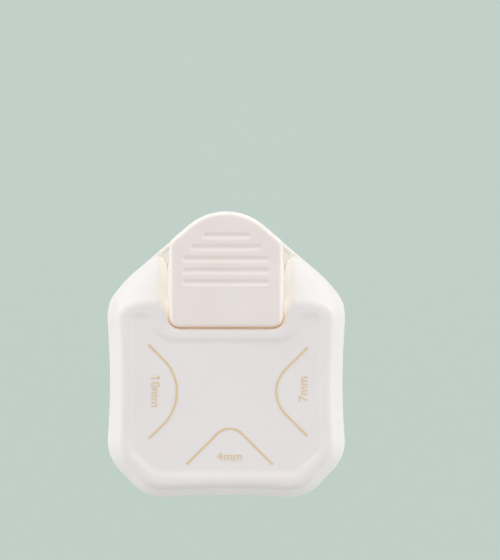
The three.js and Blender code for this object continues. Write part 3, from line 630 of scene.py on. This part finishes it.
def base_values(g):
    footprint = g.plan(FOOTPRINT_PLAN)
    side = footprint + base_inset(g.z)
    form = base_form(g, side)

    under = np.maximum(side + WALL, g.z - DIE_LOW[2] + 1.5)
    rear_floor = np.maximum(REAR_FLOOR_Y - g.y, g.z - REAR_FLOOR_TOP)
    under = np.maximum(under, -rear_floor)
    behind = g.y > RIM_FRONT_Y
    deck = np.where(g.y < DECK_REAR_Y - BULKHEAD, DIE_LOW[2], REAR_DECK)
    deck = np.where(g.y > ARM_END_Y - 2.3, SLOT_BOTTOM, deck)
    deck = np.where(behind, REAR_SHELF, deck)
    pocket = np.maximum(footprint + np.where(behind, RIM_WALL, WALL), deck - g.z)
    shell = rounded_max(rounded_max(form, -under, 0.4), -pocket, 0.6)
    shell = rounded_min(shell, rear_shelf(g, footprint), 0.3)
    bulkhead_half = LEVER_HALF + 0.1
    bulkhead_low = (-bulkhead_half, DECK_REAR_Y - BULKHEAD, 9)
    bulkhead = g.block(bulkhead_low, (bulkhead_half, DECK_REAR_Y, BASE_HIGH[2]))
    shell = rounded_min(shell, bulkhead, 0.4)
    for screw in HOUSING_SCREWS:
        shell = np.minimum(shell, g.bar(2, screw, POST_RADIUS, BOSS_BOTTOM, SLOT_BOTTOM))
    drop = outline_distance(punch_outline(DROP_GAP), g.x, g.y)
    shell = rounded_max(shell, -np.maximum(drop, 6 - g.z), 0.4)
    for screw in HOUSING_SCREWS:
        bore = g.bar(2, screw, SCREW_BORE, 0, 20)
        shell = np.maximum(shell, -np.minimum(bore, g.bar(2, screw, SCREW_HEAD, 0, SCREW_SEAT)))
    hinge = (TRAY_HINGE_Y, TRAY_HINGE_Z)
    shell = np.maximum(shell, -g.bar(0, hinge, PEG_HOLE, -PEG_HOLE_END, PEG_HOLE_END))
    shell = rounded_max(shell, -g.block(*FINGER_NOTCH), 0.5)
    return rounded_max(shell, -paper_slots(g, footprint), 0.4)


# ------------------------------------------------------------------ lever

GROOVE_LENGTHS = [19.2, 19.2, 19.2, 15.8, 10.7]
GROOVE_FIRST_Y, GROOVE_PITCH, GROOVE_RADIUS, GROOVE_RISE = 16.1, 2.58, 0.60, 0.28
LEVER_DRAFT, LEVER_DEPTH = 0.3, 7.5
LIP_REACH, LIP_DEPTH = 0.25, 2.2
PAD_WALL, PAD_SKIN = 1.6, 1.8
CHEEK_X, CHEEK_HALF = 6.5, 1.3
CHEEK_PROFILE = [
    (PIVOT_Y, PIVOT_Z - 3),
    (PUNCH_Y - 7, 20.15),
    (PUNCH_Y, 20.2),
    (PUNCH_Y + 5.4, 21.4),
    (LEVER_FRONT_Y + 1, 23.2),
    (LEVER_FRONT_Y + 1, 25.6),
    (PUNCH_Y, 25.6),
    (PIVOT_Y, PIVOT_Z + 3),
]


def lever_plan():
    tip_y = NOSE_Y - LEVER_HALF * (NOSE_Y - SHOULDER_Y) / SHOULDER_X
    return mirrored([
        (LEVER_HALF, LEVER_FRONT_Y, 2.4),
        (LEVER_HALF, tip_y, 2.0),
        (0, NOSE_Y, NOSE_RADIUS),
    ])


def lever_values(g):
    plan = g.plan(lever_plan())
    level = g.z - LEVER_FRONT_TOP - (g.y - LEVER_FRONT_Y) * LEVER_SLOPE
    lean = LEVER_DRAFT * np.clip(1 + level / LEVER_DEPTH, 0, 1) * smooth_step(g.y, 6.5, 9)
    lip = rounded_max(plan - LIP_REACH, level + LIP_DEPTH, 0.3)
    lip = rounded_max(lip, g.y - ARM_END_Y + 1.5, 2.0)
    pad = rounded_min(rounded_max(plan + lean, level, 0.8), lip, 0.2)
    pad = rounded_max(pad, -level - LEVER_DEPTH, 0.6)
    pad = np.maximum(pad, -np.maximum(plan + PAD_WALL, level + PAD_SKIN))
    for i, length in enumerate(GROOVE_LENGTHS):
        along = np.maximum(np.abs(g.x) - length / 2 + GROOVE_RADIUS, 0)
        across = g.y - GROOVE_FIRST_Y - GROOVE_PITCH * i
        groove = np.sqrt(along ** 2 + across ** 2 + (level - GROOVE_RISE) ** 2) - GROOVE_RADIUS
        pad = rounded_max(pad, -groove, 0.3)
    cheek = np.maximum(g.side(CHEEK_PROFILE), np.abs(np.abs(g.x) - CHEEK_X) - CHEEK_HALF)
    eye = np.maximum(g.bar(0, (PIVOT_Y, PIVOT_Z), 3.0, -7.8, 7.8), 5.2 - np.abs(g.x))
    shell = rounded_min(np.minimum(cheek, eye), pad, 0.8)
    for y, radius in ((PIVOT_Y, PIN_RADIUS + 0.08), (PUNCH_Y, PIN_RADIUS + 0.02)):
        shell = np.maximum(shell, -g.bar(0, (y, PIVOT_Z), radius, -10, 10))
    return shell


# ------------------------------------------------------------------ waste tray

TRAY_SIDE_GAP, TRAY_WALL, TRAY_FLOOR = 0.35, 1.2, 1.5
KNUCKLE_HALF, KNUCKLE_RADIUS, PEG_RADIUS = 22.1, 2.0, 1.1


def tray_values(g):
    """A shallow dish that ends in a round knuckle, with a peg at each side and a finger tab."""
    footprint = g.plan(FOOTPRINT_PLAN) + BASE_DRAFT + WALL + TRAY_SIDE_GAP
    y = g.y - TRAY_HINGE_Y
    dish = rounded_max(footprint, TRAY_LOW[2] - g.z, 0.8)
    dish = np.maximum(dish, g.z - TRAY_HIGH[2])
    hollow = np.maximum(footprint + TRAY_WALL, TRAY_LOW[2] + TRAY_FLOOR - g.z)
    dish = rounded_max(dish, -np.maximum(hollow, y + 2.4), 0.4)
    dish = np.maximum(dish, np.maximum(y, -np.maximum(-1 - y, TRAY_HINGE_Z - g.z)))
    dish = np.maximum(dish, -np.maximum(KNUCKLE_HALF - np.abs(g.x), -2.5 - y))
    hinge = (TRAY_HINGE_Y, TRAY_HINGE_Z)
    knuckle = g.bar(0, hinge, KNUCKLE_RADIUS, -KNUCKLE_HALF, KNUCKLE_HALF)
    peg = g.bar(0, hinge, PEG_RADIUS, TRAY_LOW[0], TRAY_HIGH[0])
    tab = g.block((-4, TRAY_LOW[1], TRAY_LOW[2]), (4, -27, TRAY_LOW[2] + TRAY_FLOOR))
    return np.minimum(np.minimum(rounded_min(dish, knuckle, 0.6), peg), tab)


# ------------------------------------------------------------------ all mouldings

def shells():
    """The mouldings: name, CAD node, body, grid step, shape, material and a slot name, which is not
    used.
    """
    for name, node_name, body, step, shape, material, slot in (
        ("cover_moulding", "top_cover", "housing", 0.34, cover_values, COVER_PLASTIC, "cover_plastic"),
        ("base_moulding", "base_shell", "housing", 0.36, base_values, COVER_PLASTIC, "cover_plastic"),
        ("lever_moulding", "press_lever", "lever", 0.24, lever_values, LEVER_PLASTIC, "lever_plastic"),
        ("tray_moulding", "waste_tray", "tray", 0.36, tray_values, TRAY_PLASTIC, "tray_plastic"),
    ):
        g = Field(*node_box(node_name), step)
        grown(name, g, shape(g), body, node_name, material)


# ------------------------------------------------------------------ printed marks

# All the printing sits a little to the right of the middle line.
PRINT_SHIFT = 0.8
PRINT_LIFT = 0.02
PRINT_THICK = 0.03
PRINT_Z = RIDGE_TOP - PANEL_DROP + PRINT_LIFT
MARK_WIDTH = 0.46
NUMBER_HEIGHT = 1.9
# The typeface's size for figures one unit high.
TYPE_SIZE = 1.46
# Each mark: radius, corner, the way the corner points, arm length, number's middle and turn.
MARKS = [
    (10, (-7.5, PUNCH_Y), 0, 14.5, (-16.5, -7.9), -90),
    (7, (7.4, PUNCH_Y), 180, 13.6, (16.3, -7.4), 90),
    (4, (0, -14.5), 90, 13.3, (0, -22.35), 0),
]
# The stroke added to the figure one, in parts of the figure's height from its top left.
FLAG = [(0.02, 0), (-0.24, -0.17), (-0.24, -0.32), (0.02, -0.17)]


def ribbon(name, path, width, z, thick, material):
    """A flat printed line of even width along a path, with round ends."""
    left, right = [], []
    for i, here in enumerate(path):
        ahead = (path[min(i + 1, len(path) - 1)] - path[max(i - 1, 0)]).normalized()
        normal = Vector((-ahead.y, ahead.x)) * (width / 2)
        left.append(here + normal)
        right.append(here - normal)
    start = (path[0] - path[1]).normalized()
    end = (path[-1] - path[-2]).normalized()
    caps = []
    for tip, way in ((path[-1], end), (path[0], start)):
        side = Vector((-way.y, way.x))
        angles = [math.pi * k / 8 for k in range(1, 8)]
        caps.append([tip + (way * math.sin(a) + side * math.cos(a)) * (width / 2) for a in angles])
    outline = left + caps[0] + right[::-1] + caps[1]
    count = len(outline)
    vertices = [(p.x * MM, p.y * MM, level * MM) for level in (z, z + thick) for p in outline]
    flat = strip_faces(len(left), len(caps[0]), count)
    faces = [(i, i + count, (i + 1) % count + count, (i + 1) % count) for i in range(count)]
    faces += [tuple(i + count for i in f[::-1]) for f in flat]
    mesh = bpy.data.meshes.new(name)
    mesh.from_pydata(vertices, [], faces + flat)
    mesh.update()
    printed(name, mesh, material)


def strip_faces(length, cap, count):
    """Faces across a ribbon's outline: quads along it, and a fan polygon at each end."""
    right = length + cap
    across = [(i, i + 1, right + length - 2 - i, right + length - 1 - i) for i in range(length - 1)]
    far = tuple(range(length - 1, length + cap + 1))
    near = tuple(range(right + length - 1, count)) + (0,)
    return across + [far, near]


def printed(name, mesh, material):
    """A printed piece that rides on the cover."""
    piece = bpy.data.objects.new(name, mesh)
    bpy.context.scene.collection.objects.link(piece)
    mesh.materials.clear()
    mesh.materials.append(material)
    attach(piece, "housing")
    return piece


def heading(angle):
    """The direction at an angle in radians, seen from above."""
    return Vector((math.cos(angle), math.sin(angle)))


def corner_mark(name, corner, facing, radius, reach):
    """The shape a cut corner will have: an arm, the rounded corner and the other arm."""
    a = math.radians(facing)
    centre = corner - heading(a) * radius * math.sqrt(2)
    arc = [centre + heading(a + math.radians(45) * (1 - k / 12)) * radius for k in range(25)]
    lengths = [reach + (radius - reach) * k / 6 for k in range(6)]
    first = [corner + heading(a + math.radians(135)) * length for length in lengths]
    second = [corner + heading(a - math.radians(135)) * length for length in lengths]
    ribbon(name, first + arc + second[::-1], MARK_WIDTH, PRINT_Z, PRINT_THICK, GOLD_INK)


def add_flag(mesh, height):
    """The short stroke at the top left of a figure one that begins the words."""
    left = min(v.co.x for v in mesh.vertices)
    top = max(v.co.y for v in mesh.vertices if v.co.x < left + height * 0.05)
    heights = [v.co.z for v in mesh.vertices]
    shape = bmesh.new()
    shape.from_mesh(mesh)
    rings = []
    for z in (min(heights), max(heights)):
        rings.append([shape.verts.new((left + x * height, top + y * height, z)) for x, y in FLAG])
    shape.faces.new(rings[0][::-1])
    shape.faces.new(rings[1])
    for i in range(len(FLAG)):
        ahead = (i + 1) % len(FLAG)
        shape.faces.new((rings[0][i], rings[0][ahead], rings[1][ahead], rings[1][i]))
    bmesh.ops.recalc_face_normals(shape, faces=shape.faces)
    shape.to_mesh(mesh)
    shape.free()


def size_number(name, words, centre, turn, height):
    """Printed size, in the plain built-in typeface."""
    curve = bpy.data.curves.new(name, "FONT")
    curve.body = words
    curve.size = height * TYPE_SIZE * MM
    curve.align_x = "CENTER"
    curve.align_y = "CENTER"
    curve.extrude = PRINT_THICK / 2 * MM
    curve.space_character = 1.03
    source = bpy.data.objects.new(name, curve)
    bpy.context.scene.collection.objects.link(source)
    bpy.context.view_layer.update()
    depsgraph = bpy.context.evaluated_depsgraph_get()
    mesh = bpy.data.meshes.new_from_object(source.evaluated_get(depsgraph))
    bpy.data.objects.remove(source)
    if words.startswith("1"):
        add_flag(mesh, height * MM)
    piece = printed(name, mesh, GOLD_INK)
    piece.location = Vector((*centre, PRINT_Z + PRINT_THICK / 2)) * MM
    piece.rotation_euler = (0, 0, math.radians(turn))


def printing():
    shift = Vector((PRINT_SHIFT, 0))
    for radius, corner, facing, reach, middle, turn in MARKS:
        corner_mark(f"mark_{radius}", Vector(corner) + shift, facing, radius, reach)
        size_number(f"number_{radius}", f"{radius}mm", Vector(middle) + shift, turn, NUMBER_HEIGHT)


# ------------------------------------------------------------------ steel pieces

def dress_steel():
    """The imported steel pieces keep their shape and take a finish."""
    for name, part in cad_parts.items():
        if part.hide_render:
            continue
        if name in ("die_plate", "punch_block"):
            material = BLADE_STEEL
        elif name.endswith("_pin") or name.startswith("guide_post"):
            material = PIN_STEEL
        elif name.startswith("return_spring"):
            material = SPRING_STEEL
        else:
            material = PLAIN_STEEL
        part.data.materials.clear()
        part.data.materials.append(material)


SPRINGS = ("return_spring_left", "return_spring_right")
SPRING_WIRE, SPRING_TURNS, CLOSED_TURNS = 0.24, 5.0, 0.9
RING_SIDES, STEPS_A_TURN = 10, 28


def coil_mesh(name, low, high):
    """A coil with closed ends that fills a box."""
    wire, turns, dead, sides = SPRING_WIRE, SPRING_TURNS, CLOSED_TURNS, RING_SIDES
    middle = (low + high) / 2
    radius = (high[0] - low[0]) / 2 - wire
    bottom, top = low[2] + wire, high[2] - wire
    close = 2.1 * wire * dead
    stations = [0, dead, turns - dead, turns]
    heights = [bottom, bottom + close, top - close, top]
    steps = int(turns * STEPS_A_TURN)
    vertices = []
    for i in range(steps + 1):
        turn = turns * i / steps
        rise = np.interp(turn, stations, heights)
        angle = 2 * math.pi * turn
        for k in range(sides):
            tilt = 2 * math.pi * k / sides
            reach = radius + wire * math.cos(tilt)
            x = middle[0] + reach * math.cos(angle)
            y = middle[1] + reach * math.sin(angle)
            vertices.append((x * MM, y * MM, (rise + wire * math.sin(tilt)) * MM))
    faces = []
    for i in range(steps):
        for k in range(sides):
            a, b = i * sides + k, i * sides + (k + 1) % sides
            faces.append((a, a + sides, b + sides, b))
    faces.append(tuple(range(sides)))
    faces.append(tuple(steps * sides + k for k in range(sides))[::-1])
    mesh = bpy.data.meshes.new(name)
    mesh.from_pydata(vertices, [], faces)
    mesh.shade_smooth()
    return mesh


def return_springs():
    """The two coils, each built to fill its CAD spring's box."""
    for name in SPRINGS:
        low, high = node_box(name)
        mesh = coil_mesh(name + "_coil", low, high)
        mesh.materials.append(SPRING_STEEL)
        piece = bpy.data.objects.new(name + "_coil", mesh)
        bpy.context.scene.collection.objects.link(piece)
        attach(piece, "housing")
        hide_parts(name)
        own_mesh(piece)


# ------------------------------------------------------------------ stage

PICTURE = (500, 560)
SCALE = 4.5
CAMERA_RISE = 2500
SENSOR = 36
AXIS_X, AXIS_Y = 5.28, 16.67
SIDE_LIGHT, REAR_LIGHT, FRONT_LIGHT, TOP_LIGHT, FILL_LIGHT = 2.0, 1.4, 0.15, 0.22, 0.04
LIGHT_COLOUR = (0.985, 0.985, 0.97, 1)
FLOOR_Z = -0.042
FLOOR_GLOW = 0.85
FLOOR_COLOUR, FLOOR_GRAIN = (0.530, 0.628, 0.580), (0.538, 0.636, 0.588)
FLOOR_BOUNCE = (0.80, 0.83, 0.79)


def camera():
    """A long lens that looks straight down, a little to the right of and behind the middle."""
    data = bpy.data.cameras.new("camera")
    data.sensor_width = SENSOR
    data.lens = SENSOR * CAMERA_RISE / (PICTURE[1] / SCALE)
    data.clip_start, data.clip_end = 0.1, 20
    seat = bpy.data.objects.new("camera", data)
    seat.location = Vector((AXIS_X, AXIS_Y, CAMERA_RISE + SLOT_BOTTOM)) * MM
    bpy.context.scene.collection.objects.link(seat)
    bpy.context.scene.camera = seat


def floor():
    """A pale sheet lit evenly from behind, low enough for the tray to hang open above it.

    The object itself sees a white sheet, and the sheet is clear when it is looked at from below.
    """
    material, tree, shader = new_material("floor")
    paper = noise(tree, 400, 2)
    colour = blended(tree, spread(tree, paper, 0, 1), FLOOR_COLOUR, FLOOR_GRAIN)
    direct = node(tree, "ShaderNodeLightPath").outputs["Is Camera Ray"]
    seen = blended(tree, direct, FLOOR_BOUNCE, colour)
    tree.links.new(seen, shader.inputs["Base Color"])
    shader.inputs["Roughness"].default_value = 0.9
    shader.inputs["Specular IOR Level"].default_value = 0.1
    lit = node(tree, "ShaderNodeEmission")
    tree.links.new(seen, lit.inputs["Color"])
    sheet_shader = node(tree, "ShaderNodeMixShader")
    sheet_shader.inputs["Fac"].default_value = FLOOR_GLOW
    tree.links.new(shader.outputs["BSDF"], sheet_shader.inputs[1])
    tree.links.new(lit.outputs["Emission"], sheet_shader.inputs[2])
    one_sided = node(tree, "ShaderNodeMixShader")
    tree.links.new(node(tree, "ShaderNodeNewGeometry").outputs["Backfacing"], one_sided.inputs["Fac"])
    tree.links.new(sheet_shader.outputs["Shader"], one_sided.inputs[1])
    tree.links.new(node(tree, "ShaderNodeBsdfTransparent").outputs["BSDF"], one_sided.inputs[2])
    tree.links.new(one_sided.outputs["Shader"], tree.nodes["Material Output"].inputs["Surface"])
    far = 3.0
    corners = [(-far, -far, FLOOR_Z), (far, -far, FLOOR_Z), (far, far, FLOOR_Z), (-far, far, FLOOR_Z)]
    mesh = bpy.data.meshes.new("floor")
    mesh.from_pydata(corners, [], [(0, 1, 2, 3)])
    mesh.materials.append(material)
    sheet = bpy.data.objects.new("floor", mesh)
    bpy.context.scene.collection.objects.link(sheet)


def lighting():
    """One wide soft surround: brightest from both sides, then the rear, weakest from the front."""
    world = bpy.data.worlds.new("studio")
    world.use_nodes = True
    tree = world.node_tree
    way = node(tree, "ShaderNodeTexCoord").outputs["Generated"]
    x, y, z = parts_of(tree, way)
    total = product(tree, product(tree, x, x), SIDE_LIGHT)
    total = summed(tree, total, product(tree, worked(tree, "MAXIMUM", y, 0), REAR_LIGHT))
    total = summed(tree, total, product(tree, worked(tree, "MINIMUM", y, 0), -FRONT_LIGHT))
    total = summed(tree, total, product(tree, worked(tree, "MAXIMUM", z, 0), TOP_LIGHT))
    total = summed(tree, total, FILL_LIGHT)
    background = tree.nodes["Background"]
    background.inputs["Color"].default_value = LIGHT_COLOUR
    tree.links.new(total, background.inputs["Strength"])
    bpy.context.scene.world = world
    bpy.context.scene.view_settings.view_transform = "Standard"


shells()
printing()
return_springs()
dress_steel()
camera()
floor()
lighting()
